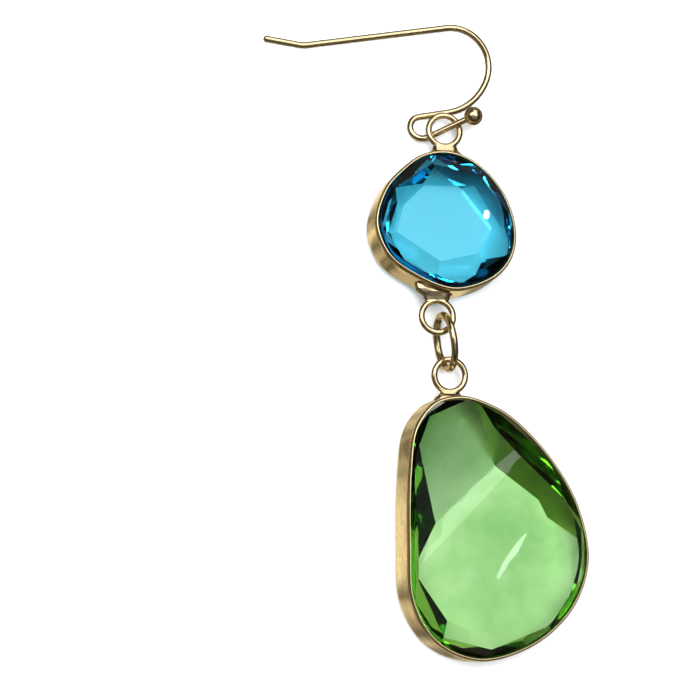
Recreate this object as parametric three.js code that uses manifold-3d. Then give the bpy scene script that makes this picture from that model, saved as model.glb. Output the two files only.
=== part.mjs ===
// A drop earring as it lies on a table: an ear wire, a blue cut stone in a gold band,
// a jump ring, and a larger green cut stone in a gold band.
// Millimetres. +Y runs to the ear wire's end, +X to the right seen from the front, +Z is up.
// The table is z = 0. The origin is the middle of the whole piece on the table.
import * as THREE from "three";
import { mergeVertices } from "three/addons/utils/BufferGeometryUtils.js";
import Module from "manifold-3d";

const wasm = await Module();
wasm.setup();

// Clearances
const seatGap = 0.06; // between a stone and its band
const linkGap = 0.15; // between two linked rings or wires

// Round wires
const earWireThickness = 0.7;
const loopWireThickness = 0.7; // the loops soldered to the bands
const jumpWireThickness = 0.8;
const ballDiameter = 2.1; // on the end of the ear wire

// Loops and the jump ring, measured over the outside
const loopDiameter = 4.3;
const jumpRingDiameter = 6.8;

// The bands round the stones
const bandWall = 0.24;
const bandLip = 0.08; // what the band's edges fold in over the stone
const lipThickness = 0.2;
const bandRound = 0.14; // the small round on the band's outer edges
const solderDepth = 1.5; // the solder's size from front to back
const solderFoot = 3.5; // the solder's width on the band
const solderHead = 2.3; // the solder's width at the loop

// The outlines are shares of a band's width and height, from its middle, going round clockwise.
// A loop stands on the band's top or bottom edge, at a share of the width, on a height of solder.
const blue = {
  width: 16.2,
  height: 16.0,
  bandDepth: 4.5,
  stoneDepth: 6.0,
  outline: [
    [0.007, 0.5],
    [0.161, 0.465],
    [0.314, 0.356],
    [0.435, 0.19],
    [0.495, 0.0],
    [0.495, -0.16],
    [0.439, -0.302],
    [0.3, -0.428],
    [0.036, -0.5],
    [-0.243, -0.4],
    [-0.421, -0.262],
    [-0.5, -0.028],
    [-0.421, 0.222],
    [-0.304, 0.356],
    [-0.157, 0.465],
  ],
  loops: [
    { across: 0.046, side: 1, solder: 0.7 },
    { across: -0.05, side: -1, solder: 0.6 },
  ],
};

const green = {
  width: 21.1,
  height: 29.2,
  bandDepth: 5.0,
  stoneDepth: 6.6,
  outline: [
    [-0.206, 0.5],
    [-0.06, 0.476],
    [0.083, 0.421],
    [0.294, 0.27],
    [0.444, 0.089],
    [0.5, -0.108],
    [0.433, -0.274],
    [0.228, -0.425],
    [-0.106, -0.5],
    [-0.361, -0.425],
    [-0.483, -0.274],
    [-0.5, -0.062],
    [-0.494, 0.209],
    [-0.462, 0.37],
    [-0.36, 0.47],
  ],
  loops: [{ across: -0.232, side: 1, solder: 0.25 }],
};

// Facets: each runs along an edge on the stone's table, from one point to the next, in shares of
// the band's width and height, and falls away outwards by an angle in degrees.
// A sunk facet starts that share of the stone's depth below the table.
blue.crown = [
  { from: [-0.45, -0.08], to: [-0.27, -0.385], fall: 42 },
  { from: [-0.27, -0.385], to: [0.08, -0.46], fall: 44 },
  { from: [0.08, -0.46], to: [0.45, -0.22], fall: 42 },
  { from: [0.45, -0.22], to: [0.43, 0.05], fall: 46 },
  { from: [0.43, 0.05], to: [0.23, 0.31], fall: 36 },
  { from: [0.23, 0.31], to: [-0.1, 0.385], fall: 34 },
  { from: [-0.1, 0.385], to: [-0.37, 0.2], fall: 38 },
  { from: [-0.37, 0.2], to: [-0.45, -0.08], fall: 42 },
];
blue.pavilion = [
  { from: [-0.305, -0.05], to: [0.0, -0.25], fall: 26.5 },
  { from: [0.0, -0.25], to: [0.27, -0.19], fall: 30 },
  { from: [0.27, -0.19], to: [0.38, 0.0], fall: 32 },
  { from: [0.38, 0.0], to: [0.16, 0.29], fall: 31 },
  { from: [0.16, 0.29], to: [-0.1, 0.29], fall: 31 },
  { from: [-0.1, 0.29], to: [-0.25, 0.14], fall: 31 },
  { from: [-0.25, 0.14], to: [-0.305, -0.05], fall: 28 },
  { from: [-0.38, -0.05], to: [-0.22, -0.315], fall: 46, sunk: 0.1 },
  { from: [-0.22, -0.315], to: [0.11, -0.395], fall: 46, sunk: 0.16 },
  { from: [0.11, -0.395], to: [0.42, -0.17], fall: 46, sunk: 0.13 },
  { from: [0.43, 0.05], to: [0.26, 0.29], fall: 48, sunk: 0.14 },
  { from: [0.26, 0.29], to: [-0.03, 0.385], fall: 48, sunk: 0.12 },
  { from: [-0.03, 0.385], to: [-0.29, 0.235], fall: 48, sunk: 0.12 },
  { from: [-0.29, 0.235], to: [-0.38, -0.05], fall: 46, sunk: 0.12 },
];
green.crown = [
  { from: [-0.17, 0.45], to: [0.06, 0.3], fall: 40 },
  { from: [0.11, 0.32], to: [0.3, 0.165], fall: 42 },
  { from: [0.3, 0.165], to: [0.44, 0.0], fall: 50 },
  { from: [0.44, 0.0], to: [0.44, -0.18], fall: 50 },
  { from: [0.44, -0.18], to: [0.26, -0.365], fall: 50 },
  { from: [0.26, -0.365], to: [-0.06, -0.455], fall: 50 },
  { from: [-0.06, -0.455], to: [-0.32, -0.41], fall: 48 },
  { from: [-0.32, -0.41], to: [-0.455, -0.2], fall: 44 },
  { from: [-0.455, -0.2], to: [-0.445, 0.22], fall: 46 },
  { from: [-0.445, 0.22], to: [-0.34, 0.39], fall: 38 },
  { from: [-0.34, 0.39], to: [-0.17, 0.45], fall: 38 },
  { from: [-0.485, -0.176], to: [0.131, 0.28], fall: 2.5 },
  { from: [-0.358, 0.004], to: [0.114, 0.317], fall: 5, sunk: 0.006 },
];
green.pavilion = [
  { from: [-0.236, -0.347], to: [-0.42, -0.16], fall: 34 },
  { from: [-0.42, -0.16], to: [-0.294, 0.02], fall: 35 },
  { from: [-0.294, 0.02], to: [0.135, 0.305], fall: 28.5 },
  { from: [0.135, 0.305], to: [0.32, 0.05], fall: 43 },
  { from: [-0.133, 0.383], to: [0.097, 0.263], fall: 45, sunk: 0.2 },
  { from: [0.32, 0.05], to: [0.34, -0.17], fall: 28 },
  { from: [0.34, -0.17], to: [0.14, -0.34], fall: 27 },
  { from: [0.14, -0.34], to: [-0.12, -0.38], fall: 27 },
  { from: [-0.12, -0.38], to: [-0.236, -0.347], fall: 29 },
];
const girdleShare = 0.28; // of the stone's depth, straight round the middle of its side
const girdleTaper = 0.4; // what the side leans in from there to each table

// How the pieces lie. The blue drop leans: its ear end down, and its right side up.
const blueLeanDown = 6; // degrees
const blueLeanSide = 2.5;
// Where the jump ring stands in each loop: shares of its play there, to the right and towards the ear.
const jumpInGreenLoop = { across: -0.12, along: 0.84 };
const jumpInBlueLoop = { across: 0.97, along: 0.11 };
const jumpTurn = 8.5; // degrees from the earring's length, seen from above

// The ear wire, from its ball to its tip. Bends turn left where positive, in degrees.
const legPastLoop = 3.2; // from the middle of the blue drop's upper loop to the ball
const legHeading = 206; // which way the leg runs from the ball, seen from above
const legOffset = 0.15; // how far towards the ear end the leg passes the loop's middle
const hookLegRun = 4.9;
const smallBend = 1.3; // radii on the wire's middle line
const stemRun = 3.5;
const archSide = 6.2;
const archTop = 4.3;
const backRun = 16.7;
const kinkBend = 2.5;
const tailRun = 4.2;
const wireRows = [
  { run: hookLegRun, radius: smallBend, turn: -195 },
  { run: stemRun, radius: archSide, turn: 60 },
  { run: 0, radius: archTop, turn: 119 },
  { run: backRun, radius: kinkBend, turn: -17 },
  { run: tailRun, radius: 0, turn: 0 },
];

// How finely round things are meshed
const wireSides = 10;
const loopSteps = 28;
const jumpSteps = 36;
const wireSteps = 96;
const outlineSteps = 72;
const bendStep = 15; // degrees
const ballSides = 18;
const ballRows = 12;

const loopRadius = (loopDiameter - loopWireThickness) / 2; // on the wire's middle line
const jumpRadius = (jumpRingDiameter - jumpWireThickness) / 2;
const upward = new THREE.Vector3(0, 0, 1);

const gold = new THREE.MeshStandardMaterial({ color: 0xd9b26a, roughness: 0.22, metalness: 1 });
const blueGlass = new THREE.MeshStandardMaterial({ color: 0x3cb4d8, roughness: 0.05, metalness: 0 });
const greenGlass = new THREE.MeshStandardMaterial({ color: 0x7fcb5e, roughness: 0.05, metalness: 0 });

function radians(degrees) {
  return THREE.MathUtils.degToRad(degrees);
}

// A closed three.js geometry as a solid for cutting and joining.
function solidFrom(geometry) {
  const bare = new THREE.BufferGeometry().setAttribute("position", geometry.getAttribute("position"));
  bare.setIndex(geometry.getIndex());
  const merged = mergeVertices(bare, 1e-4);
  return new wasm.Manifold(
    new wasm.Mesh({
      numProp: 3,
      vertProperties: new Float32Array(merged.getAttribute("position").array),
      triVerts: new Uint32Array(merged.getIndex().array),
    }),
  );
}

function geometryFrom(solid) {
  const mesh = solid.getMesh();
  const geometry = new THREE.BufferGeometry();
  geometry.setAttribute("position", new THREE.BufferAttribute(mesh.vertProperties, 3));
  geometry.setIndex(new THREE.BufferAttribute(mesh.triVerts, 1));
  geometry.computeVertexNormals();
  return geometry;
}

function namedMesh(name, geometry, material) {
  const mesh = new THREE.Mesh(geometry, material);
  mesh.name = name;
  return mesh;
}

// The smooth closed outline through a drop's points, counter-clockwise, fitted to its width and height.
function outlineOf(drop) {
  const corners = drop.outline.map(([u, v]) => new THREE.Vector3(u, v, 0)).reverse();
  const curve = new THREE.CatmullRomCurve3(corners, true, "centripetal");
  const points = curve.getSpacedPoints(outlineSteps).slice(0, outlineSteps);
  const box = new THREE.Box3().setFromPoints(points);
  const middle = box.getCenter(new THREE.Vector3());
  const size = box.getSize(new THREE.Vector3());
  return points.map(
    (p) =>
      new THREE.Vector2(((p.x - middle.x) / size.x) * drop.width, ((p.y - middle.y) / size.y) * drop.height),
  );
}

// The same outline moved inwards by a distance.
function inset(outline, distance) {
  const count = outline.length;
  return outline.map((p, i) => {
    const along = outline[(i + 1) % count].clone().sub(outline[(i + count - 1) % count]).normalize();
    return new THREE.Vector2(p.x - along.y * distance, p.y + along.x * distance);
  });
}

// A wall round an outline: each section point is [distance inwards, height].
function wallRound(outline, section) {
  const rings = section.map(([inwards, height]) =>
    inset(outline, inwards).map((p) => new THREE.Vector3(p.x, p.y, height)),
  );
  const count = outline.length;
  const places = rings.flat().flatMap((p) => [p.x, p.y, p.z]);
  const faces = [];
  rings.forEach((_, k) => {
    const next = (k + 1) % rings.length;
    for (let i = 0; i < count; i++) {
      const j = (i + 1) % count;
      const [a, b, c, d] = [k * count + i, k * count + j, next * count + j, next * count + i];
      faces.push(a, b, c, a, c, d);
    }
  });
  const geometry = new THREE.BufferGeometry();
  geometry.setAttribute("position", new THREE.Float32BufferAttribute(places, 3));
  geometry.setIndex(faces);
  return geometry;
}

// Where the outline's top or bottom edge is at a place across it.
function edgeAt(outline, x, side) {
  const count = outline.length;
  const heights = outline.flatMap((p, i) => {
    const q = outline[(i + 1) % count];
    if ((p.x - x) * (q.x - x) > 0) return [];
    return [THREE.MathUtils.mapLinear(x, p.x, q.x, p.y, q.y)];
  });
  return side * Math.max(...heights.map((y) => side * y));
}

// The middle of a loop, in its drop's own frame.
function loopMiddle(drop, loop) {
  const x = loop.across * drop.width;
  const edge = edgeAt(outlineOf(drop), x, loop.side);
  return new THREE.Vector3(x, edge + loop.side * (loop.solder + loopDiameter / 2), 0);
}

// A loop of round wire, with the flared solder that joins it to the band.
function solderedLoop(drop, loop) {
  const middle = loopMiddle(drop, loop);
  const ring = new THREE.TorusGeometry(loopRadius, loopWireThickness / 2, wireSides, loopSteps);
  ring.translate(middle.x, middle.y, 0);
  const inBand = 1.2; // how far the solder's blank reaches past the band's edge before it is trimmed
  const head = -loopRadius;
  const foot = head - loopWireThickness / 2 - loop.solder;
  const shape = new THREE.Shape([
    new THREE.Vector2(-solderHead / 2, head + loopWireThickness / 2),
    new THREE.Vector2(-solderHead / 2, head),
    new THREE.Vector2(-solderFoot / 2, foot),
    new THREE.Vector2(-solderFoot / 2, foot - inBand),
    new THREE.Vector2(solderFoot / 2, foot - inBand),
    new THREE.Vector2(solderFoot / 2, foot),
    new THREE.Vector2(solderHead / 2, head),
    new THREE.Vector2(solderHead / 2, head + loopWireThickness / 2),
  ]);
  const block = new THREE.ExtrudeGeometry(shape, { depth: solderDepth, bevelEnabled: false });
  block.translate(0, 0, -solderDepth / 2);
  if (loop.side < 0) block.rotateZ(Math.PI);
  block.translate(middle.x, middle.y, 0);
  const hole = new THREE.CylinderGeometry(loopRadius, loopRadius, solderDepth * 2, loopSteps);
  hole.rotateX(Math.PI / 2).translate(middle.x, middle.y, 0);
  return solidFrom(block).subtract(solidFrom(hole)).add(solidFrom(ring));
}

// The band with its loops, all one soldered piece of metal.
function settingSolid(drop) {
  const outline = outlineOf(drop);
  const top = drop.bandDepth / 2;
  const opening = bandWall + bandLip;
  const section = [
    [0, top - bandRound],
    [bandRound, top],
    [opening, top],
    [opening, top - lipThickness],
    [bandWall, top - lipThickness - bandLip],
  ];
  const below = section.map(([inwards, height]) => [inwards, -height]).reverse();
  const band = solidFrom(wallRound(outline, [...section, ...below]));
  const inside = new THREE.ExtrudeGeometry(new THREE.Shape(inset(outline, bandWall / 2)), {
    depth: drop.bandDepth * 2,
    bevelEnabled: false,
  });
  inside.translate(0, 0, -drop.bandDepth);
  const core = solidFrom(inside);
  return drop.loops.reduce((metal, loop) => metal.add(solderedLoop(drop, loop).subtract(core)), band);
}

// The blank of a stone, outline and depth, with its side leaning in to both tables.
function stoneBlank(drop) {
  const girdle = inset(outlineOf(drop), bandWall + seatGap);
  const straight = drop.stoneDepth * girdleShare;
  const geometry = new THREE.ExtrudeGeometry(new THREE.Shape(inset(girdle, girdleTaper)), {
    depth: straight,
    bevelEnabled: true,
    bevelSegments: 1,
    bevelSize: girdleTaper,
    bevelThickness: (drop.stoneDepth - straight) / 2,
  });
  geometry.translate(0, 0, -straight / 2);
  return solidFrom(geometry);
}

// All that lies outside one facet, as a large block set on it. Side is 1 for the front, -1 for the back.
function outsideFacet(drop, facet, side) {
  const reach = 2 * Math.max(drop.width, drop.height);
  const place = ([u, v]) => new THREE.Vector3(u * drop.width, v * drop.height, 0);
  const [a, b] = [place(facet.from), place(facet.to)];
  const middle = a.clone().add(b).divideScalar(2);
  const outwards = b.clone().sub(a).cross(upward).normalize();
  if (outwards.dot(middle) < 0) outwards.negate();
  middle.z = side * drop.stoneDepth * (0.5 - (facet.sunk ?? 0));
  const tilt = radians(facet.fall);
  const normal = new THREE.Vector3(0, 0, side * Math.cos(tilt)).addScaledVector(outwards, Math.sin(tilt));
  const block = new THREE.BoxGeometry(reach, reach, reach);
  block.translate(0, 0, reach / 2);
  block.applyQuaternion(new THREE.Quaternion().setFromUnitVectors(upward, normal));
  block.translate(middle.x, middle.y, middle.z);
  return solidFrom(block);
}

function stoneSolid(drop) {
  const cuts = [
    ...drop.crown.map((facet) => outsideFacet(drop, facet, 1)),
    ...drop.pavilion.map((facet) => outsideFacet(drop, facet, -1)),
  ];
  return cuts.reduce((stone, cut) => stone.subtract(cut), stoneBlank(drop));
}

function dropGroup(drop, name, glass) {
  const group = new THREE.Group();
  group.add(
    namedMesh(name + "_setting", geometryFrom(settingSolid(drop)), gold),
    namedMesh(name + "_stone", geometryFrom(stoneSolid(drop)), glass),
  );
  return group;
}

// The wire's way seen from above, from a start and a heading through rows of a run and a bend.
function bentWay(start, heading, rows) {
  const points = [start.clone()];
  let angle = radians(heading);
  for (const { run, radius, turn } of rows) {
    const last = points[points.length - 1];
    if (run > 0) points.push(last.clone().add(new THREE.Vector2(run, 0).rotateAround(new THREE.Vector2(), angle)));
    const from = points[points.length - 1];
    const side = Math.sign(turn);
    const centre = from.clone().add(new THREE.Vector2(0, side * radius).rotateAround(new THREE.Vector2(), angle));
    const steps = Math.ceil(Math.abs(turn) / bendStep);
    for (let i = 1; i <= steps; i++) {
      points.push(from.clone().rotateAround(centre, (radians(turn) * i) / steps));
    }
    angle += radians(turn);
  }
  return points;
}

// The ear wire with its ball. The leg passes under one side of the loop, through it and over the other.
function earWireSolid(loopPlace) {
  const climb = Math.asin(((earWireThickness + loopWireThickness) / 2 + linkGap) / loopRadius);
  const slope = Math.tan(climb);
  const low = earWireThickness / 2;
  const back = new THREE.Vector2(legPastLoop, 0).rotateAround(new THREE.Vector2(), radians(legHeading + 180));
  const start = new THREE.Vector2(loopPlace.x, loopPlace.y + legOffset).add(back);
  const way = bentWay(start, legHeading, wireRows);
  const ballHeight = loopPlace.z + legPastLoop * slope;
  const legEnd = ballHeight - hookLegRun * slope;
  const bendLength = smallBend * radians(Math.abs(wireRows[0].turn));
  let travelled = 0;
  const points = way.map((p, i) => {
    if (i > 0) travelled += p.distanceTo(way[i - 1]);
    const inBend = THREE.MathUtils.clamp((travelled - hookLegRun) / bendLength, 0, 1);
    const fall = (legEnd - low) * (1 - inBend) ** ((slope * bendLength) / (legEnd - low));
    const height = travelled < hookLegRun ? ballHeight - travelled * slope : low + fall;
    return new THREE.Vector3(p.x, p.y, height);
  });
  const section = new THREE.Shape(
    Array.from({ length: wireSides }, (_, i) =>
      new THREE.Vector2(low, 0).rotateAround(new THREE.Vector2(), (2 * Math.PI * i) / wireSides),
    ),
  );
  const wire = new THREE.ExtrudeGeometry(section, {
    steps: wireSteps,
    bevelEnabled: false,
    extrudePath: new THREE.CatmullRomCurve3(points, false, "centripetal"),
  });
  const ball = new THREE.SphereGeometry(ballDiameter / 2, ballSides, ballRows);
  ball.translate(points[0].x, points[0].y, points[0].z);
  return solidFrom(wire).add(solidFrom(ball));
}

const greenDrop = dropGroup(green, "green", greenGlass);
const blueDrop = dropGroup(blue, "blue", blueGlass);

// The green drop lies flat on its stone's back table.
greenDrop.position.z = green.stoneDepth / 2;

// The blue drop leans and touches the table with its lowest point.
blueDrop.rotation.set(radians(-blueLeanDown), radians(-blueLeanSide), 0);
blueDrop.updateMatrixWorld(true);
blueDrop.position.z = -new THREE.Box3().setFromObject(blueDrop, true).min.z;

// The jump ring stands on the table through the green loop and the lower blue loop.
const greenLoop = greenDrop.position.clone().add(loopMiddle(green, green.loops[0]));
const lowerBlue = loopMiddle(blue, blue.loops[1]).applyEuler(blueDrop.rotation);
const upperBlue = loopMiddle(blue, blue.loops[0]).applyEuler(blueDrop.rotation);
const play = loopRadius - (loopWireThickness + jumpWireThickness) / 2 - linkGap;
const jumpHeight = jumpRingDiameter / 2 + linkGap;
const jumpWay = new THREE.Vector2(0, 1).rotateAround(new THREE.Vector2(), radians(jumpTurn));
const crossing = (height) => Math.sqrt(jumpRadius ** 2 - (height - jumpHeight) ** 2);
const inGreen = new THREE.Vector2(greenLoop.x, greenLoop.y);
inGreen.x += play * jumpInGreenLoop.across;
inGreen.y += play * jumpInGreenLoop.along;
const jumpMiddle = inGreen.clone().addScaledVector(jumpWay, crossing(greenLoop.z));
const lowerHeight = blueDrop.position.z + lowerBlue.z;
const inBlue = jumpMiddle.clone().addScaledVector(jumpWay, crossing(lowerHeight));
blueDrop.position.x = inBlue.x - play * jumpInBlueLoop.across - lowerBlue.x;
blueDrop.position.y = inBlue.y - play * jumpInBlueLoop.along - lowerBlue.y;

const jumpRing = namedMesh(
  "jump_ring",
  new THREE.TorusGeometry(jumpRadius, jumpWireThickness / 2, wireSides, jumpSteps),
  gold,
);
jumpRing.position.set(jumpMiddle.x, jumpMiddle.y, jumpHeight);
jumpRing.rotation.set(0, Math.PI / 2, radians(jumpTurn), "ZYX");

const earLoop = upperBlue.add(blueDrop.position);
const earWire = namedMesh("ear_wire", geometryFrom(earWireSolid(earLoop)), gold);

// Laid out as a whole, then moved so that its middle on the table is the origin.
const laid = new THREE.Group();
laid.add(earWire, blueDrop, jumpRing, greenDrop);
laid.updateMatrixWorld(true);
const whole = new THREE.Box3().setFromObject(laid, true);
const middle = whole.getCenter(new THREE.Vector3());
laid.position.set(-middle.x, -middle.y, -whole.min.z);

const earring = new THREE.Group();
earring.add(laid);

export default earring;
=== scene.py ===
# %% [markdown]
# A drop earring lying on a white table.
# From the ear down it is an ear wire, a blue cut stone in a gold band, a jump ring, and a larger
# green cut stone in a gold band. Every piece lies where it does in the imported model. Here the
# metal is made again finely, because polished gold shows each flat of a coarse mesh, and the
# stones keep their facets and become real glass.

# %% The fixed frame
import math

import bpy
import numpy as np
from mathutils import Matrix, Vector


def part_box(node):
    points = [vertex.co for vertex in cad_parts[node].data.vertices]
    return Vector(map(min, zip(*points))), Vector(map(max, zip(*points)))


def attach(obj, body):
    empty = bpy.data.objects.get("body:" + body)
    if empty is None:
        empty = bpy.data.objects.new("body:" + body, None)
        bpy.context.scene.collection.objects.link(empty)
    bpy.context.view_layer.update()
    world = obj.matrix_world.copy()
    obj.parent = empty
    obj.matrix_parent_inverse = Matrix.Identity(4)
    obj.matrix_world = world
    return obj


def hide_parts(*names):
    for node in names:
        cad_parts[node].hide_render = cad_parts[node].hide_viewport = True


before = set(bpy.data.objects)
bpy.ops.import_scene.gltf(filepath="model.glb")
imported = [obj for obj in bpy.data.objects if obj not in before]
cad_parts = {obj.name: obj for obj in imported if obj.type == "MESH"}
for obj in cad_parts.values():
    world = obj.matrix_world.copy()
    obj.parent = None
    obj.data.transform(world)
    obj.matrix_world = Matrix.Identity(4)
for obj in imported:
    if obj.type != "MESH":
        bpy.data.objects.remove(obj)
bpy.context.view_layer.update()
MM = 0.001

# %% [markdown]
# The camera first, because every later choice is judged through it.
# It looks down on the table from a little to the left and a little towards the green drop, with a
# long lens far away, so that circles stay nearly round and the depth looks flat.

# %% The camera
FRAME_PIXELS = 700
PIXELS_PER_MM = 9  # how large the earring is in the frame
CAMERA_DISTANCE = 330  # mm
AIM = Vector((-7.93, -1.45, 0))  # mm, the place on the table in the middle of the frame
LEAN_LEFT = math.radians(16)
LEAN_LOW = math.radians(6)
SENSOR = 36  # mm

towards_camera = Vector((-math.tan(LEAN_LEFT), -math.tan(LEAN_LOW), 1)).normalized()
camera_right = Vector((0, 1, 0)).cross(towards_camera).normalized()
camera_up = towards_camera.cross(camera_right)
scene = bpy.context.scene
camera = bpy.data.objects.new("camera", bpy.data.cameras.new("camera"))
scene.collection.objects.link(camera)
camera.data.sensor_width = SENSOR
camera.data.lens = SENSOR * PIXELS_PER_MM * CAMERA_DISTANCE / FRAME_PIXELS
camera.data.clip_start = 0.01
turn = Matrix((camera_right, camera_up, towards_camera)).transposed().to_4x4()
camera.matrix_world = Matrix.Translation((AIM + CAMERA_DISTANCE * towards_camera) * MM) @ turn
scene.camera = camera
print("lens", round(camera.data.lens, 1), "mm")

# %% [markdown]
# The sizes of the piece, in millimetres, the same ones that the solids are made from.
# Each drop has its band's width and height, and an outline in shares of them. Each loop stands on
# the band's top or bottom edge, at a share of the width, on a height of solder. Only the width of
# the solder's foot differs from the solids: here each loop has its own.

# %% Sizes
EAR_WIRE = 0.7
LOOP_WIRE = 0.7
JUMP_WIRE = 0.8
BALL = 2.1
LOOP = 4.3
JUMP_RING = 6.8
LINK_GAP = 0.15
BAND_WALL = 0.24
BAND_LIP = 0.08
LIP_THICKNESS = 0.2
BAND_ROUND = 0.14
LOOP_RADIUS = (LOOP - LOOP_WIRE) / 2
JUMP_RADIUS = (JUMP_RING - JUMP_WIRE) / 2

blue = {
    "width": 16.2,
    "height": 16.0,
    "band_depth": 4.5,
    "outline": [
        (0.007, 0.5), (0.161, 0.465), (0.314, 0.356), (0.435, 0.19), (0.495, 0.0),
        (0.495, -0.16), (0.439, -0.302), (0.3, -0.428), (0.036, -0.5), (-0.243, -0.4),
        (-0.421, -0.262), (-0.5, -0.028), (-0.421, 0.222), (-0.304, 0.356), (-0.157, 0.465),
    ],
    "loops": [
        {"across": 0.046, "side": 1, "solder": 0.7, "foot": 4.1},
        {"across": -0.05, "side": -1, "solder": 0.6, "foot": 4.2},
    ],
}
green = {
    "width": 21.1,
    "height": 29.2,
    "band_depth": 5.0,
    "stone_depth": 6.6,
    "outline": [
        (-0.206, 0.5), (-0.06, 0.476), (0.083, 0.421), (0.294, 0.27), (0.444, 0.089),
        (0.5, -0.108), (0.433, -0.274), (0.228, -0.425), (-0.106, -0.5), (-0.361, -0.425),
        (-0.483, -0.274), (-0.5, -0.062), (-0.494, 0.209), (-0.462, 0.37), (-0.36, 0.47),
    ],
    "loops": [{"across": -0.232, "side": 1, "solder": 0.25, "foot": 3.1}],
}

# %% [markdown]
# A smooth outline is a spline through a few points. Blender has curve objects for that, but the
# band needs its points evenly spaced and moved inwards, so the spline is worked out here, as one
# cubic from each point to the next.

# %% A smooth closed outline, evenly spaced
SPLINE_STEPS = 40  # on the way from one point to the next
EDGE_POINTS = 288


def evenly(points, count):
    """That many points at equal distances along a closed line."""
    points = np.vstack([points, points[:1]])
    lengths = np.linalg.norm(np.diff(points, axis=0), axis=1)
    travelled = np.concatenate([[0], np.cumsum(lengths)])
    at = np.linspace(0, travelled[-1], count, endpoint=False)
    return np.stack([np.interp(at, travelled, points[:, k]) for k in range(2)], axis=1)


def smooth_outline(drop):
    """The drop's outline, counter-clockwise, fitted to its width and height."""
    corners = np.array(drop["outline"][::-1])
    dense = []
    for i in range(len(corners)):
        before, a, b, after = (corners[(i + k) % len(corners)] for k in (-1, 0, 1, 2))
        d0, d1, d2 = (np.linalg.norm(q - p) ** 0.5 for p, q in ((before, a), (a, b), (b, after)))
        leaving = ((a - before) / d0 - (b - before) / (d0 + d1) + (b - a) / d1) * d1
        arriving = ((b - a) / d1 - (after - a) / (d1 + d2) + (after - b) / d2) * d1
        for t in np.arange(SPLINE_STEPS) / SPLINE_STEPS:
            bend = (-3 * a + 3 * b - 2 * leaving - arriving) * t**2
            dense.append(a + leaving * t + bend + (2 * a - 2 * b + leaving + arriving) * t**3)
    points = evenly(np.array(dense), EDGE_POINTS)
    low, high = points.min(0), points.max(0)
    return (points - (low + high) / 2) / (high - low) * (drop["width"], drop["height"])


def inset(outline, distance):
    """The same outline moved inwards."""
    along = np.roll(outline, -1, axis=0) - np.roll(outline, 1, axis=0)
    along /= np.linalg.norm(along, axis=1, keepdims=True)
    return outline + distance * np.stack([-along[:, 1], along[:, 0]], axis=1)


for drop in (blue, green):
    drop["edge"] = smooth_outline(drop)
    print("outline of", len(drop["edge"]), "points, mm:", np.ptp(drop["edge"], axis=0))

# %% [markdown]
# Where the pieces lie. The green drop lies flat. The blue one leans a little, its ear end down and
# its right side up, and the jump ring stands up through the two loops. The frame gives where the
# green drop is, and the rest follows from how the links hang in each other.

# %% Where the loops are on each drop
def loop_middle(drop, loop):
    """The middle of a loop in its drop's own frame."""
    side = loop["side"]
    x = loop["across"] * drop["width"]
    edge = side * drop["edge"]
    upper = edge[edge[:, 1] > 0]
    upper = upper[np.argsort(upper[:, 0])]
    y = np.interp(side * x, upper[:, 0], upper[:, 1])
    return Vector((x, side * (y + loop["solder"] + LOOP / 2), 0))


BLUE_LEAN_DOWN = math.radians(6)
BLUE_LEAN_SIDE = math.radians(2.5)
blue_turn = Matrix.Rotation(-BLUE_LEAN_DOWN, 3, "X") @ Matrix.Rotation(-BLUE_LEAN_SIDE, 3, "Y")
low, high = (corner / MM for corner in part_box("green_setting"))
green["place"] = Matrix.Translation(
    (low.x + green["width"] / 2, low.y + green["height"] / 2, green["stone_depth"] / 2)
)
green_loop = green["place"] @ loop_middle(green, green["loops"][0])
lower_blue = blue_turn @ loop_middle(blue, blue["loops"][1])
print("green loop at, mm:", [round(c, 2) for c in green_loop])

# %% Places of the jump ring and the blue drop
JUMP_TURN = math.radians(8.5)  # from the earring's length, seen from above
JUMP_IN_GREEN = Vector((-0.12, 0.84, 0))  # where it stands in the loop, in shares of its play there
JUMP_IN_BLUE = Vector((0.97, 0.11, 0))

play = LOOP_RADIUS - (LOOP_WIRE + JUMP_WIRE) / 2 - LINK_GAP
jump_height = JUMP_RING / 2 + LINK_GAP
jump_way = Vector((-math.sin(JUMP_TURN), math.cos(JUMP_TURN), 0))


def crossing(height):
    """How far from its middle the standing jump ring is at a height."""
    return math.sqrt(JUMP_RADIUS**2 - (height - jump_height) ** 2)


jump_middle = green_loop + play * JUMP_IN_GREEN + jump_way * crossing(green_loop.z)
jump_middle.z = jump_height
lowest = min(
    (blue_turn @ Vector((x, y, -depth))).z
    for inwards, depth in ((0, blue["band_depth"] / 2 - BAND_ROUND), (BAND_ROUND, blue["band_depth"] / 2))
    for x, y in inset(blue["edge"], inwards)
)
blue_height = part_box("blue_setting")[0].z / MM - lowest
in_blue = jump_middle + jump_way * crossing(blue_height + lower_blue.z)
blue_middle = in_blue - play * JUMP_IN_BLUE - lower_blue
blue_middle.z = blue_height
blue["place"] = Matrix.Translation(blue_middle) @ blue_turn.to_4x4()
ear_loop = blue["place"] @ loop_middle(blue, blue["loops"][0])
for name, at in (("jump ring", jump_middle), ("blue drop", blue_middle), ("ear loop", ear_loop)):
    print(name, "at, mm:", [round(c, 2) for c in at])

# %% [markdown]
# The metal finish. The real wire and bands are brass with a thin pale gold plating, polished but
# not perfect: fine rub marks and a faint unevenness spread the reflections. A metal needs no
# colour of its own besides the tint of what it reflects, so one Principled shader does it, with
# noise for the roughness and a very low bump.

# %% Helpers for materials
def new_material(name):
    """A material with nodes, and its shader."""
    material = bpy.data.materials.new(name)
    material.use_nodes = True
    return material, material.node_tree.nodes["Principled BSDF"]


def add_node(owner, kind, **values):
    """A node of a material or of the world, with some of its inputs set by name."""
    node = owner.node_tree.nodes.new(kind)
    for name, value in values.items():
        node.inputs[name.replace("_", " ")].default_value = value
    return node


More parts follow.
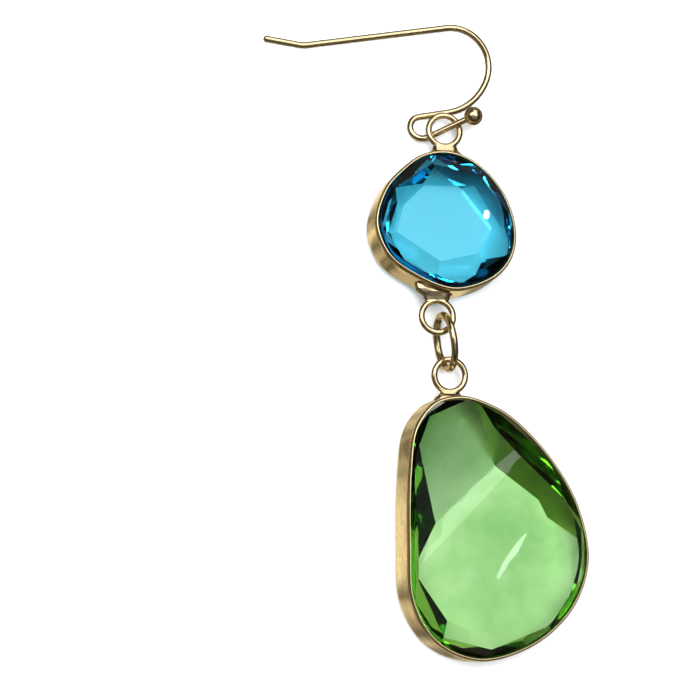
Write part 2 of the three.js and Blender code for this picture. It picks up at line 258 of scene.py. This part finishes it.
def feature(size):
    """A noise scale for features of a size in mm."""
    return 1 / (size * MM)


def wavy(material, shader, place, size, detail, strength, height):
    """Low waves of a width and a height in mm, as a bump."""
    waves = add_node(material, "ShaderNodeTexNoise", Scale=feature(size), Detail=detail)
    bump = add_node(material, "ShaderNodeBump", Strength=strength, Distance=height * MM)
    link = material.node_tree.links.new
    link(place.outputs["Object"], waves.inputs["Vector"])
    link(waves.outputs["Fac"], bump.inputs["Height"])
    link(bump.outputs["Normal"], shader.inputs["Normal"])


# %% Pale gold
gold, gold_shader = new_material("pale_gold")
gold_shader.inputs["Metallic"].default_value = 1
gold_shader.inputs["Base Color"].default_value = (0.9, 0.73, 0.43, 1)
place = add_node(gold, "ShaderNodeTexCoord")
uneven = add_node(gold, "ShaderNodeTexNoise", Scale=feature(0.5), Detail=4, Roughness=0.6)
spread = add_node(gold, "ShaderNodeMapRange", From_Min=0.3, From_Max=0.7, To_Min=0.1, To_Max=0.22)
gold.node_tree.links.new(place.outputs["Object"], uneven.inputs["Vector"])
gold.node_tree.links.new(uneven.outputs["Fac"], spread.inputs["Value"])
gold.node_tree.links.new(spread.outputs["Result"], gold_shader.inputs["Roughness"])
wavy(gold, gold_shader, place, size=2.2, detail=1.5, strength=0.6, height=0.07)
print("material", gold.name)

# %% [markdown]
# Inside the bands nobody polishes, and glue and dust dull the metal. It shows only through the
# glass, as the dark rim of each stone, so it gets a rough dark brass of its own: the roughness is
# real, and the dark colour is partly painted shade, for the shade inside the band. Its grime, which
# only sets the roughness, is so fine that no single speck shows.

# %% Dull brass with painted shade
GRIME_SCALE = 1250  # specks across the width of a setting

dull_and_shaded_brass, dull_and_shaded_shader = new_material("dull_and_shaded_brass")
dull_and_shaded_shader.inputs["Metallic"].default_value = 1
# The dark base colour is partly painted shade, for the shade inside the band.
dull_and_shaded_shader.inputs["Base Color"].default_value = (0.4, 0.37, 0.2, 1)
grime = add_node(dull_and_shaded_brass, "ShaderNodeTexNoise", Scale=GRIME_SCALE, Detail=5)
rough = add_node(dull_and_shaded_brass, "ShaderNodeMapRange", From_Min=0.3, From_Max=0.7, To_Min=0.4, To_Max=0.75)
dull_and_shaded_brass.node_tree.links.new(grime.outputs["Fac"], rough.inputs["Value"])
dull_and_shaded_brass.node_tree.links.new(rough.outputs["Result"], dull_and_shaded_shader.inputs["Roughness"])
print("material", dull_and_shaded_brass.name)

# %% [markdown]
# Both drops are clear coloured glass. The colour is inside it, so it's a volume absorption: the
# longer the way of the light through the glass, the deeper the colour. Three tints on the surface
# add to it, each made by a colour ramp. Faint clouds are stains of polish and glue. One end of
# each stone is darker, with painted shade. And the steep facets are darker too, with painted shade
# that stands in for the shade near the band: the tint depends on how far a facet is from lying flat.

# %% Tints on the glass, two of them painted shade
CLEAR = (1, 1, 1)


def vector_math(owner, operation, first, second):
    """A vector node with a linked first input, and a second one that is linked or a value."""
    node = add_node(owner, "ShaderNodeVectorMath")
    node.operation = operation
    owner.node_tree.links.new(first, node.inputs[0])
    if isinstance(second, bpy.types.NodeSocket):
        owner.node_tree.links.new(second, node.inputs[1])
    else:
        node.inputs[1].default_value = second
    return node


def colour_ramp(owner, factor, tones):
    """The colour for a factor among tones, each a position and a colour."""
    node = add_node(owner, "ShaderNodeValToRGB")
    owner.node_tree.links.new(factor, node.inputs["Fac"])
    elements = node.color_ramp.elements
    while len(elements) < len(tones):
        elements.new(0.5)
    for element, (position, colour) in zip(elements, tones):
        element.position = position
        element.color = (*colour, 1)
    return node.outputs["Color"]


def faint_clouds(glass, place, streak):
    """Clouds some millimetres wide, between clear and the colour of a streak."""
    noise = add_node(glass, "ShaderNodeTexNoise", Scale=feature(7), Detail=3, Roughness=0.6, Distortion=0.6)
    glass.node_tree.links.new(place.outputs["Object"], noise.inputs["Vector"])
    return colour_ramp(glass, noise.outputs["Fac"], [(0.35, streak), (0.6, CLEAR)])


def painted_shade_end(glass, place, way, clear_at, shaded_at, darkest):
    """Painted shade that sets in along a way, between two distances from the earring's origin in mm."""
    along = vector_math(glass, "DOT_PRODUCT", place.outputs["Object"], way)
    fading = add_node(glass, "ShaderNodeMapRange", From_Min=clear_at * MM, From_Max=shaded_at * MM)
    glass.node_tree.links.new(along.outputs["Value"], fading.inputs["Value"])
    return colour_ramp(glass, fading.outputs["Result"], [(0, CLEAR), (1, darkest)])


def painted_slope_shade(glass, place, up, slopes):
    """A tint of painted shade for each facet, from how many degrees it falls away from lying flat."""
    facing = vector_math(glass, "DOT_PRODUCT", place.outputs["Normal"], up)
    flatness = add_node(glass, "ShaderNodeMath")
    flatness.operation = "ABSOLUTE"
    glass.node_tree.links.new(facing.outputs["Value"], flatness.inputs[0])
    tones = [(math.cos(math.radians(fall)), tint) for fall, tint in slopes]
    return colour_ramp(glass, flatness.outputs["Value"], tones)


# %% [markdown]
# With the tints made, the glass itself is short: a shader that lets all light through and bends it
# as glass does, the absorption inside, and a very low wide bump for the slightly wavy polish.

# %% Coloured glass
def coloured_glass(name, colour, density, streak, end_shade, up, slopes):
    """Clear glass that takes its colour from its depth, with faint clouds, painted shade at one end and
    painted shade on the steep facets.
    """
    glass, shader = new_material(name)
    shader.inputs["Transmission Weight"].default_value = 1
    shader.inputs["IOR"].default_value = 1.52
    shader.inputs["Roughness"].default_value = 0
    place = add_node(glass, "ShaderNodeTexCoord")
    clouds = faint_clouds(glass, place, streak)
    end_shaded = vector_math(glass, "MULTIPLY", clouds, painted_shade_end(glass, place, *end_shade))
    slope_shaded = vector_math(glass, "MULTIPLY", end_shaded.outputs["Vector"], painted_slope_shade(glass, place, up, slopes))
    glass.node_tree.links.new(slope_shaded.outputs["Vector"], shader.inputs["Base Color"])
    wavy(glass, shader, place, size=4, detail=1, strength=0.5, height=0.015)
    depth = add_node(glass, "ShaderNodeVolumeAbsorption", Color=(*colour, 1), Density=density)
    output = glass.node_tree.nodes["Material Output"]
    glass.node_tree.links.new(depth.outputs["Volume"], output.inputs["Volume"])
    return glass


upright = Vector((0, 0, 1))
# Painted shade on the steep facets: the darker tints stand in for the shade near the band.
blue_slope_shade = [  # a facet's fall in degrees, the tint on it
    (41, (0.08, 0.24, 0.33)), (33, (0.34, 0.74, 0.83)), (26, (0.4, 0.82, 0.87)), (16, CLEAR),
]
green_slope_shade = [
    (42, (0.16, 0.22, 0.03)), (35, (0.13, 0.3, 0.03)), (33, (0.13, 0.3, 0.03)), (29.5, CLEAR),
]
# Painted shade at one end of each stone. Below, smoky at means where the painted shade is full.
blue_end_shade = ((0.1, 0.995, 0), 16, 20, (0.35, 0.35, 0.33))  # way, clear at, smoky at, darkest
green_end_shade = ((-0.677, 0.736, 0), -15, -6, (0.3, 0.52, 0.2))
blue_glass = coloured_glass(
    "cut_blue_glass", (0.2, 0.82, 0.925), 190, streak=(0.93, 0.98, 0.99),
    end_shade=blue_end_shade, up=blue_turn @ upright, slopes=blue_slope_shade,
)
green_glass = coloured_glass(
    "cut_green_glass", (0.41, 0.815, 0.22), 104, streak=(0.7, 0.83, 0.68),
    end_shade=green_end_shade, up=upright, slopes=green_slope_shade,
)
for node, glass in (("blue_stone", blue_glass), ("green_stone", green_glass)):
    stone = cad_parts[node]
    stone.data.materials.clear()
    stone.data.materials.append(glass)
    print(node, "has", len(stone.data.polygons), "faces and the material", glass.name)

# %% [markdown]
# A facet's edge is never knife sharp: polishing leaves a narrow round that catches the light.
# The stones come as triangles, so a decimate modifier first joins the flat ones back into facets,
# and a bevel then rounds the edges between them.

# %% Soft facet edges
EDGE_ROUND = 0.05

for node in ("blue_stone", "green_stone"):
    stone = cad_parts[node]
    facets = stone.modifiers.new("facets", "DECIMATE")
    facets.decimate_type = "DISSOLVE"
    facets.angle_limit = math.radians(0.5)
    soft = stone.modifiers.new("soft_edges", "BEVEL")
    soft.width = EDGE_ROUND * MM
    soft.segments = 2
    soft.limit_method = "ANGLE"
    soft.angle_limit = math.radians(3)
    soft.harden_normals = False
    print(node, "edges rounded by", EDGE_ROUND, "mm")

# %% [markdown]
# Wire is a circle pushed along a path. A curve object with a bevel could do it, but its thickness
# has to change along the way, for the ball and the rounded tip, so a helper makes rings of points
# and another puts a skin on them.

# %% Rings and skins
WIRE_SIDES = 24


def tube(path, radii, sides=WIRE_SIDES, closed=False):
    """Rings of points round a path, each turned as little as can be from the one before."""
    path = np.asarray(path, float)
    if closed:
        along = np.roll(path, -1, axis=0) - np.roll(path, 1, axis=0)
    else:
        along = np.gradient(path, axis=0)
    along /= np.linalg.norm(along, axis=1, keepdims=True)
    across = np.cross(along[0], (0.3, 0.2, 0.9))
    angles = np.linspace(0, 2 * math.pi, sides, endpoint=False)[:, None]
    rings = []
    for point, way, radius in zip(path, along, np.broadcast_to(radii, len(path))):
        across = across - way * across.dot(way)
        across /= np.linalg.norm(across)
        other = np.cross(way, across)
        rings.append(point + radius * (np.cos(angles) * across + np.sin(angles) * other))
    return np.array(rings)


def volume(mesh):
    """A closed mesh's volume, below zero if it's inside out."""
    mesh.calc_loop_triangles()
    corners = [[mesh.vertices[v].co for v in t.vertices] for t in mesh.loop_triangles]
    return sum(a.dot(b.cross(c)) for a, b, c in corners) / 6


def skin(name, rings, closed=False):
    """An object whose surface joins each ring to the next, with capped ends unless it's closed."""
    count, around = len(rings), len(rings[0])
    faces = []
    for i in range(count if closed else count - 1):
        for j in range(around):
            a, b = i * around + j, i * around + (j + 1) % around
            c, d = (b + around) % (count * around), (a + around) % (count * around)
            faces.append((a, b, c, d))
    if not closed:
        faces += [tuple(range(around))[::-1], tuple(range((count - 1) * around, count * around))]
    mesh = bpy.data.meshes.new(name)
    mesh.from_pydata([tuple(p) for p in np.reshape(rings, (-1, 3))], [], faces)
    mesh.update()
    made = bpy.data.objects.new(name, mesh)
    scene.collection.objects.link(made)
    if volume(mesh) < 0:
        mesh.flip_normals()
    return made


# %% [markdown]
# Everything is made in millimetres and shrunk at the end, because Blender's tools for joining and
# remeshing work badly on things a few thousandths in size. One helper keeps what such a tool makes
# as the mesh itself. The other ends each metal piece: it puts it in place, smooths its shading
# except at real edges, and lets it stand for its solid.

# %% Helpers that join and finish the metal
SHARP = math.radians(38)  # a fold this sharp is an edge


def with_modifier(target, kind, **settings):
    """Keeps what a modifier makes of an object as its mesh."""
    modifier = target.modifiers.new(kind.lower(), kind)
    for name, value in settings.items():
        setattr(modifier, name, value)
    seen = target.evaluated_get(bpy.context.evaluated_depsgraph_get())
    mesh = bpy.data.meshes.new_from_object(seen)
    target.modifiers.clear()
    target.data = mesh


def finish_metal(made, node, place=Matrix.Identity(4)):
    """Shrinks a piece made in mm, puts it in place, smooths its shading and lets it stand for a node."""
    made.data.transform(Matrix.Scale(MM, 4) @ place)
    made.data.shade_smooth()
    made.data.set_sharp_from_angle(angle=SHARP)
    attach(made, "root")
    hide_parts(node)
    print(made.name, len(made.data.vertices), "points; differs from the model's box by, mm:")
    corners = np.array([v.co for v in made.data.vertices])
    for mine, its in zip((corners.min(0), corners.max(0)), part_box(node)):
        print("   ", np.round((mine - np.array(its)) / MM, 2))


# %% [markdown]
# The ear wire is one round wire, bent by hand round pegs: a hook that carries the blue drop, a
# high arch, a long back and a kick at its tip. Seen from above its path is straight runs and arcs,
# worked out like a walk: so far ahead, then turning so many degrees on such a radius. Complex
# numbers serve as flat vectors here, because multiplying by one turns them.

# %% The ear wire seen from above
LEG_PAST_LOOP = 3.2
LEG_HEADING = math.radians(206)
LEG_OFFSET = 0.15
WIRE_BENDS = [  # straight run, radius of the bend, its turn in degrees to the left
    (4.9, 1.3, -195),
    (3.5, 6.2, 60),
    (0, 4.3, 119),
    (16.7, 2.5, -17),
    (4.2, 1.0, 0),
]
STEP = 0.25  # mm between points on the path

here = complex(ear_loop.x, ear_loop.y + LEG_OFFSET)
heading = complex(math.cos(LEG_HEADING), math.sin(LEG_HEADING))
here -= LEG_PAST_LOOP * heading
plan = [here]
for run, radius, turn in WIRE_BENDS:
    steps = math.ceil(run / STEP)
    plan += [here + heading * run * (k + 1) / steps for k in range(steps)]
    here += heading * run
    turn = math.radians(turn)
    centre = here + heading * 1j * math.copysign(radius, turn)
    steps = math.ceil(abs(turn) * radius / STEP)
    plan += [centre + (here - centre) * np.exp(1j * turn * (k + 1) / steps) for k in range(steps)]
    heading *= np.exp(1j * turn)
    here = plan[-1]
print("ear wire planned with", len(plan), "points")

# %% [markdown]
# The wire lies on the table, but its front leg has to pass under one side of the blue drop's loop,
# through it and over the other side. So the leg slopes down from the ball, and the small bend of
# the hook brings it down to the table the rest of the way.

# %% The ear wire's height
HOOK_RUN, HOOK_RADIUS, HOOK_TURN = WIRE_BENDS[0]
climb = math.asin(((EAR_WIRE + LOOP_WIRE) / 2 + LINK_GAP) / LOOP_RADIUS)
slope = math.tan(climb)
lying = EAR_WIRE / 2
ball_height = ear_loop.z + LEG_PAST_LOOP * slope
leg_end = ball_height - HOOK_RUN * slope
hook_length = HOOK_RADIUS * math.radians(abs(HOOK_TURN))
path = []
travelled = 0
for i, at in enumerate(plan):
    travelled += abs(at - plan[i - 1]) if i else 0
    in_bend = min(max((travelled - HOOK_RUN) / hook_length, 0), 1)
    fall = (leg_end - lying) * (1 - in_bend) ** (slope * hook_length / (leg_end - lying))
    height = ball_height - travelled * slope if travelled < HOOK_RUN else lying + fall
    path.append((at.real, at.imag, height))
path = np.array(path)
print("ear wire", round(travelled, 1), "mm long, ball at", path[0])

# %% [markdown]
# A ball melted on the wire's front end stops the drop from slipping off. It's the same tube: its
# radius swells to the ball's and shrinks back to the wire's, and at the tip it shrinks to a dome.

# %% The ear wire
BALL_STEPS = 26
TIP_STEPS = 7
NECK = 0.15  # mm of the path left out behind the ball, so that its rings don't crowd


def ball_and_tip(path, wire, ball):
    """Points and radii of a wire that starts in a ball and ends in a rounded tip."""
    start, way = path[0], path[1] - path[0]
    way = way / np.linalg.norm(way)
    joins = math.sqrt((ball / 2) ** 2 - (wire / 2) ** 2)
    turns = np.linspace(math.radians(2), math.pi - math.asin(wire / ball), BALL_STEPS)
    bead = [start - way * math.cos(t) * ball / 2 for t in turns]
    bead_radii = [math.sin(t) * ball / 2 for t in turns]
    past = np.linalg.norm(path - start, axis=1) > joins + NECK
    wire_path = path[past]
    end, last = wire_path[-1], wire_path[-1] - wire_path[-2]
    last = last / np.linalg.norm(last)
    body = [p for p in wire_path if (end - p).dot(last) > wire / 2]
    ends = np.linspace(0, math.radians(85), TIP_STEPS)
    tip = [end - last * wire / 2 * (1 - math.sin(t)) for t in ends]
    tip_radii = [wire / 2 * math.cos(t) for t in ends]
    radii = bead_radii + [wire / 2] * len(body) + tip_radii
    return np.array(bead + body + tip), np.array(radii)


ear_wire = skin("ear_wire_round", tube(*ball_and_tip(path, EAR_WIRE, BALL)))
ear_wire.data.materials.append(gold)
finish_metal(ear_wire, "ear_wire")

# %% [markdown]
# The jump ring is a length of wire bent to a circle, whose two cut ends meet. The cut shows as a
# fine line, so the tube runs all but round, and its ends are rounded a little.

# %% The jump ring
RING_STEPS = 97
CUT_AT = math.radians(250)  # where the ends meet, from the ring's top
CUT_GAP = 0.03
CUT_ROUND = 0.06

half_gap = CUT_GAP / 2 / JUMP_RADIUS
rounding = CUT_ROUND / JUMP_RADIUS
full_turns = np.linspace(half_gap + rounding, 2 * math.pi - half_gap - rounding, RING_STEPS)
turns = np.concatenate([[half_gap], full_turns, [2 * math.pi - half_gap]])
radii = np.full(len(turns), JUMP_WIRE / 2)
radii[[0, -1]] -= CUT_ROUND
circle = [
    np.array(jump_middle + JUMP_RADIUS * (math.cos(t) * upright + math.sin(t) * jump_way))
    for t in turns + CUT_AT
]
jump_ring = skin("jump_ring_round", tube(circle, radii))
jump_ring.data.materials.append(gold)
finish_metal(jump_ring, "jump_ring")

# %% [markdown]
# A band is a strip of plated brass bent round the stone, with both edges pressed over it. Seen
# through the camera it's the thin bright line round each stone, and its wall shows on the left.
# Its cross-section is drawn once, its corners are rounded, and it goes round the outline.

# %% The bands
def rounded(corners, radii, steps=4):
    """A polygon with each corner replaced by a small curve."""
    points = []
    for i, (corner, radius) in enumerate(zip(corners, radii)):
        corner = np.array(corner, float)
        before = np.array(corners[i - 1], float) - corner
        after = np.array(corners[(i + 1) % len(corners)], float) - corner
        start = corner + before / np.linalg.norm(before) * radius
        end = corner + after / np.linalg.norm(after) * radius
        for t in np.linspace(0, 1, steps + 1):
            points.append((1 - t) ** 2 * start + 2 * t * (1 - t) * corner + t**2 * end)
    return points


def band(name, drop):
    """A band in its drop's own frame, its wall a little turned over towards the stone at both edges."""
    top = drop["band_depth"] / 2
    opening = BAND_WALL + BAND_LIP
    front = [  # inwards from the band's outside, height
        (0, top - 0.5),  # from here the wall leans in
        (0.05, top - 0.16),  # here it turns over
        (0.2, top),
        (opening, top),
        (opening, top - LIP_THICKNESS),
        (BAND_WALL, top - LIP_THICKNESS - BAND_LIP),
    ]
    corners = front + [(inwards, -height) for inwards, height in front[::-1]]
    radii = [0.2, 0.1, 0.05, 0.04, 0.03, 0.03]  # of the rounds on those corners
    section = rounded(corners, radii + radii[::-1])
    rings = [
        np.column_stack([inset(drop["edge"], inwards), np.full(len(drop["edge"]), height)])
        for inwards, height in section
    ]
    return skin(name, rings, closed=True)


def dull_and_shaded_inside(made, drop):
    """Gives the faces that look at the stone the dull brass, whose dark colour is partly painted shade."""
    made.data.materials.append(gold)
    made.data.materials.append(dull_and_shaded_brass)
    edge = drop["edge"]
    outwards = edge - inset(edge, 1)
    for face in made.data.polygons:
        gaps = edge - np.array(face.center[:2])
        nearest = np.argmin((gaps**2).sum(axis=1))
        is_inside = gaps[nearest].dot(outwards[nearest]) > BAND_WALL / 2
        faces_stone = outwards[nearest].dot(face.normal[:2]) < -0.5
        face.material_index = 1 if is_inside and faces_stone else 0


# %% [markdown]
# Each loop is a ring of wire soldered to the band. Solder flows into the corner and leaves a
# flared foot. The foot is rings that narrow from the band to the loop; a remesh joins it to the
# loop with soft corners, as melted metal has, and a boolean joins both to the band.

# %% The loops with their solder
SOLDER_NARROWING = 0.62  # the foot's width at the loop, as a share of that on the band
SOLDER_DEPTH = 1.5
FOOT_POINTS = 32
SQUARENESS = 0.7  # of the foot's section: 1 is an ellipse, and near 0 a rectangle
LOOP_STEPS = 72
REMESH = 0.07


def flared_foot(solder, wide):
    """Rings of the solder from inside the band to the loop's wire, below a loop at the origin."""
    head = -LOOP_RADIUS
    foot = head - LOOP_WIRE / 2 - solder
    narrow = wide * SOLDER_NARROWING
    rows = [  # height, width, depth
        (foot - 1.2, wide + 1, SOLDER_DEPTH),
        (foot - 0.25, wide + 0.6, SOLDER_DEPTH),
        (foot + 0.05, wide, SOLDER_DEPTH - 0.1),
        (foot + 0.5 * (head - foot), narrow + 0.5, SOLDER_DEPTH - 0.5),
        (head, narrow + 0.15, LOOP_WIRE),
        (head + 0.15, narrow - 0.2, LOOP_WIRE - 0.2),
    ]
    turns = np.linspace(0, 2 * math.pi, FOOT_POINTS, endpoint=False)
    c, s = np.cos(turns), np.sin(turns)
    side = np.sign(c) * np.abs(c) ** SQUARENESS
    face = np.sign(s) * np.abs(s) ** SQUARENESS
    return [
        np.column_stack([side * width / 2, np.full(FOOT_POINTS, height), face * depth / 2])
        for height, width, depth in rows
    ]


def soldered_loop(drop, loop):
    """A loop with its solder, in its drop's own frame."""
    turns = np.linspace(0, 2 * math.pi, LOOP_STEPS, endpoint=False)
    circle = np.column_stack([np.cos(turns), np.sin(turns), 0 * turns]) * LOOP_RADIUS
    ring = skin("loop", tube(circle, LOOP_WIRE / 2, sides=20, closed=True), closed=True)
    foot = skin("foot", flared_foot(loop["solder"], loop["foot"]))
    with_modifier(ring, "BOOLEAN", operation="UNION", solver="EXACT", object=foot)
    with_modifier(ring, "REMESH", mode="VOXEL", voxel_size=REMESH)
    with_modifier(ring, "SMOOTH", factor=0.5, iterations=6)
    bpy.data.objects.remove(foot)
    turn = Matrix.Identity(4) if loop["side"] > 0 else Matrix.Rotation(math.pi, 4, "Z")
    ring.data.transform(Matrix.Translation(loop_middle(drop, loop)) @ turn)
    return ring


# %% [markdown]
# The solder must not come out inside the band, where the stone sits. So what is inside the band's
# wall is cut off each loop before the loop is joined to it.

# %% The settings
def setting(name, drop, node):
    """A band with its loops as one piece."""
    made = band(name, drop)
    edge = inset(drop["edge"], BAND_WALL / 2)
    levels = (-drop["band_depth"], drop["band_depth"])
    core = skin("core", [np.column_stack([edge, np.full(len(edge), z)]) for z in levels])
    for loop in drop["loops"]:
        ring = soldered_loop(drop, loop)
        with_modifier(ring, "BOOLEAN", operation="DIFFERENCE", solver="EXACT", object=core)
        with_modifier(made, "BOOLEAN", operation="UNION", solver="EXACT", object=ring)
        bpy.data.objects.remove(ring)
    bpy.data.objects.remove(core)
    dull_and_shaded_inside(made, drop)
    finish_metal(made, node, drop["place"])


setting("green_band", green, "green_setting")
setting("blue_band", blue, "blue_setting")

# %% [markdown]
# The table is a plain white sheet. It isn't part of the earring. Polished
# metal would mirror its even white and look flat, so gloss doesn't see the sheet but the dome below.

# %% The table
TABLE_SIZE = 0.7  # metres
UNDER_GLASS = 0.02 * MM  # a hair of air, so that glass and paper are two surfaces

bpy.ops.mesh.primitive_plane_add(size=TABLE_SIZE, location=(0, 0, -UNDER_GLASS))
table = bpy.context.object
table.name = "table"
paper, paper_shader = new_material("white_paper")
paper_shader.inputs["Base Color"].default_value = (0.93, 0.93, 0.93, 1)
paper_shader.inputs["Roughness"].default_value = 0.9
paper_shader.inputs["Specular IOR Level"].default_value = 0.1
table.data.materials.append(paper)
table.visible_glossy = False
print("table", TABLE_SIZE, "m wide")

# %% [markdown]
# Light. Polished metal and glass show their surroundings more than themselves, so the world is a
# soft dome with its own tone for each height. Straight down it's bright, for the walls of the
# bands. Between there and the horizon it has dark and pale belts, which draw the edges of the
# wires, and overhead it's dim, so that no grey veil lies on the stones. Patches of noise make it
# uneven, as a room is. The camera itself sees a plain pale backdrop instead.

# %% The dome
below = [  # position from straight down at 0 to straight up at 1, and how bright
    (0.0, 0.95), (0.02, 0.85), (0.035, 0.35), (0.05, 0.75), (0.09, 0.2), (0.16, 0.05),
    (0.27, 0.06), (0.36, 0.25), (0.45, 0.32), (0.51, 0.25), (0.56, 0.04),
]
above = [(0.75, 0.04), (0.9, 0.16), (1.0, 0.33)]
belts = [(position, (tone, tone * 0.88, tone * 0.6)) for position, tone in below]
belts += [(position, (tone, tone, tone)) for position, tone in above]

world = bpy.data.worlds.new("soft_dome")
scene.world = world
world.use_nodes = True
link = world.node_tree.links.new
where = add_node(world, "ShaderNodeTexCoord")
parts = add_node(world, "ShaderNodeSeparateXYZ")
share = add_node(world, "ShaderNodeMapRange", From_Min=-1)
patches = add_node(world, "ShaderNodeTexNoise", Scale=6, Detail=1)
strength = add_node(world, "ShaderNodeMapRange", From_Min=0.35, From_Max=0.65, To_Min=0.2, To_Max=1.4)
room = world.node_tree.nodes["Background"]
link(where.outputs["Generated"], parts.inputs["Vector"])
link(parts.outputs["Z"], share.inputs["Value"])
link(colour_ramp(world, share.outputs["Result"], belts), room.inputs["Color"])
link(where.outputs["Generated"], patches.inputs["Vector"])
link(patches.outputs["Fac"], strength.inputs["Value"])
link(strength.outputs["Result"], room.inputs["Strength"])

backdrop = add_node(world, "ShaderNodeBackground", Color=(0.86, 0.86, 0.86, 1))
rays = add_node(world, "ShaderNodeLightPath")
either = add_node(world, "ShaderNodeMixShader")
link(rays.outputs["Is Camera Ray"], either.inputs["Fac"])
link(room.outputs["Background"], either.inputs[1])
link(backdrop.outputs["Background"], either.inputs[2])
link(either.outputs["Shader"], world.node_tree.nodes["World Output"].inputs["Surface"])
print("dome with", len(belts), "tones")

# %% [markdown]
# Two lamps light the table. They would show in the stones as white veils, so gloss doesn't see
# them. Four panels make the highlights of the gold, and only the metal pieces receive them.

# %% The lamps
def soft_box(name, direction, distance, size, power):
    """A square lamp that faces the earring from a direction."""
    lamp = bpy.data.lights.new(name, "AREA")
    lamp.size = size
    lamp.energy = power
    made = bpy.data.objects.new(name, lamp)
    scene.collection.objects.link(made)
    direction = Vector(direction).normalized()
    made.location = direction * distance
    made.rotation_euler = (-direction).to_track_quat("-Z", "Y").to_euler()
    return made


table_lamps = [  # name, direction, distance and side in metres, watts
    ("overhead_lamp", (-0.22, 0.05, 1), 0.9, 0.5, 14.5),
    ("window_lamp", (-0.9, 0.8, 1), 0.9, 0.5, 2),
]
for lamp in table_lamps:
    soft_box(*lamp).visible_glossy = False

metals = bpy.data.collections.new("metals")
for name in ("ear_wire_round", "jump_ring_round", "green_band", "blue_band"):
    metals.objects.link(bpy.data.objects[name])
panels = [
    ("upper_panel", (-0.3, 0.45, 1), 0.6, 0.34, 0.8),
    ("lip_panel", (0.25, 0.2, 1), 0.6, 0.32, 0.42),
    ("left_panel", (-0.95, 0.4, 1), 0.6, 0.28, 0.4),
    ("far_panel", (0.2, 0.9, 0.85), 0.6, 0.4, 0.6),
]
for panel in panels:
    soft_box(*panel).light_linking.receiver_collection = metals
print(len(table_lamps), "lamps for the table and", len(panels), "panels for the metal")

# %% [markdown]
# Cut stones sparkle where a facet mirrors a small bright lamp. To get such a spot at a chosen
# place, the way to the camera is mirrored in the facet, and a lamp is set along it. It's as large
# as the spot has to look. Only gloss sees it, so it makes no patch of light on the table. The blue
# stone has a short spot on its table, and the green one a long streak on its table and a wide
# faint one on its ridge, the shallow facet across its upper half.

# %% The glints
def glint(name, place, normal, length, width, turn, radiance, distance):
    """A small lamp whose mirror image is a spot on a facet, of a size in mm and a turn in degrees."""
    place = place * MM
    seen_from = (camera.matrix_world.translation - place).normalized()
    mirrored = 2 * seen_from.dot(normal) * normal - seen_from
    long_side = Vector((math.cos(math.radians(turn)), math.sin(math.radians(turn)), 0))
    long_side = (long_side - long_side.dot(mirrored) * mirrored).normalized()
    lamp = bpy.data.lights.new(name, "AREA")
    lamp.shape = "ELLIPSE"
    away = distance * MM
    larger = 1 + away / (camera.matrix_world.translation - place).length
    lamp.size, lamp.size_y = length * MM * larger, width * MM * larger
    lamp.energy = radiance * math.pi * lamp.size * lamp.size_y * math.pi / 4
    made = bpy.data.objects.new(name, lamp)
    scene.collection.objects.link(made)
    axes = Matrix((long_side, mirrored.cross(long_side), mirrored)).transposed().to_4x4()
    made.matrix_world = Matrix.Translation(place + mirrored * away) @ axes
    made.visible_camera = False
    made.visible_diffuse = False
    made.visible_transmission = False


RIDGE_FALL = math.radians(2.5)
ridge = (upright + math.sin(RIDGE_FALL) * Vector((-0.81, 0.585, 0))).normalized()
glints = [  # name, drop, place on it, the facet's normal, length, width, turn, radiance, distance
    ("blue_glint", blue, (4.4, 0.6, 3), blue_turn @ upright, 1.1, 0.7, 80, 30, 50),
    ("green_glint", green, (1.1, -3.1, 3.3), upright, 6, 0.6, 56, 9, 50),
    ("ridge_glint", green, (-3.2, 1.9, 3.3), ridge, 24, 3.4, 52, 2.6, 600),
]
for name, drop, place, *spot in glints:
    glint(name, drop["place"] @ Vector(place), *spot)

# %% [markdown]
# Light bends and bounces many times inside a cut stone before it comes out, so the renderer is
# allowed more bounces than usual. The plain view transform keeps white paper white.

# %% Bounces and tones
scene.cycles.max_bounces = 24
scene.cycles.transmission_bounces = 20
scene.cycles.glossy_bounces = 8
scene.cycles.diffuse_bounces = 4
scene.view_settings.view_transform = "Standard"
print("light may bounce", scene.cycles.max_bounces, "times")
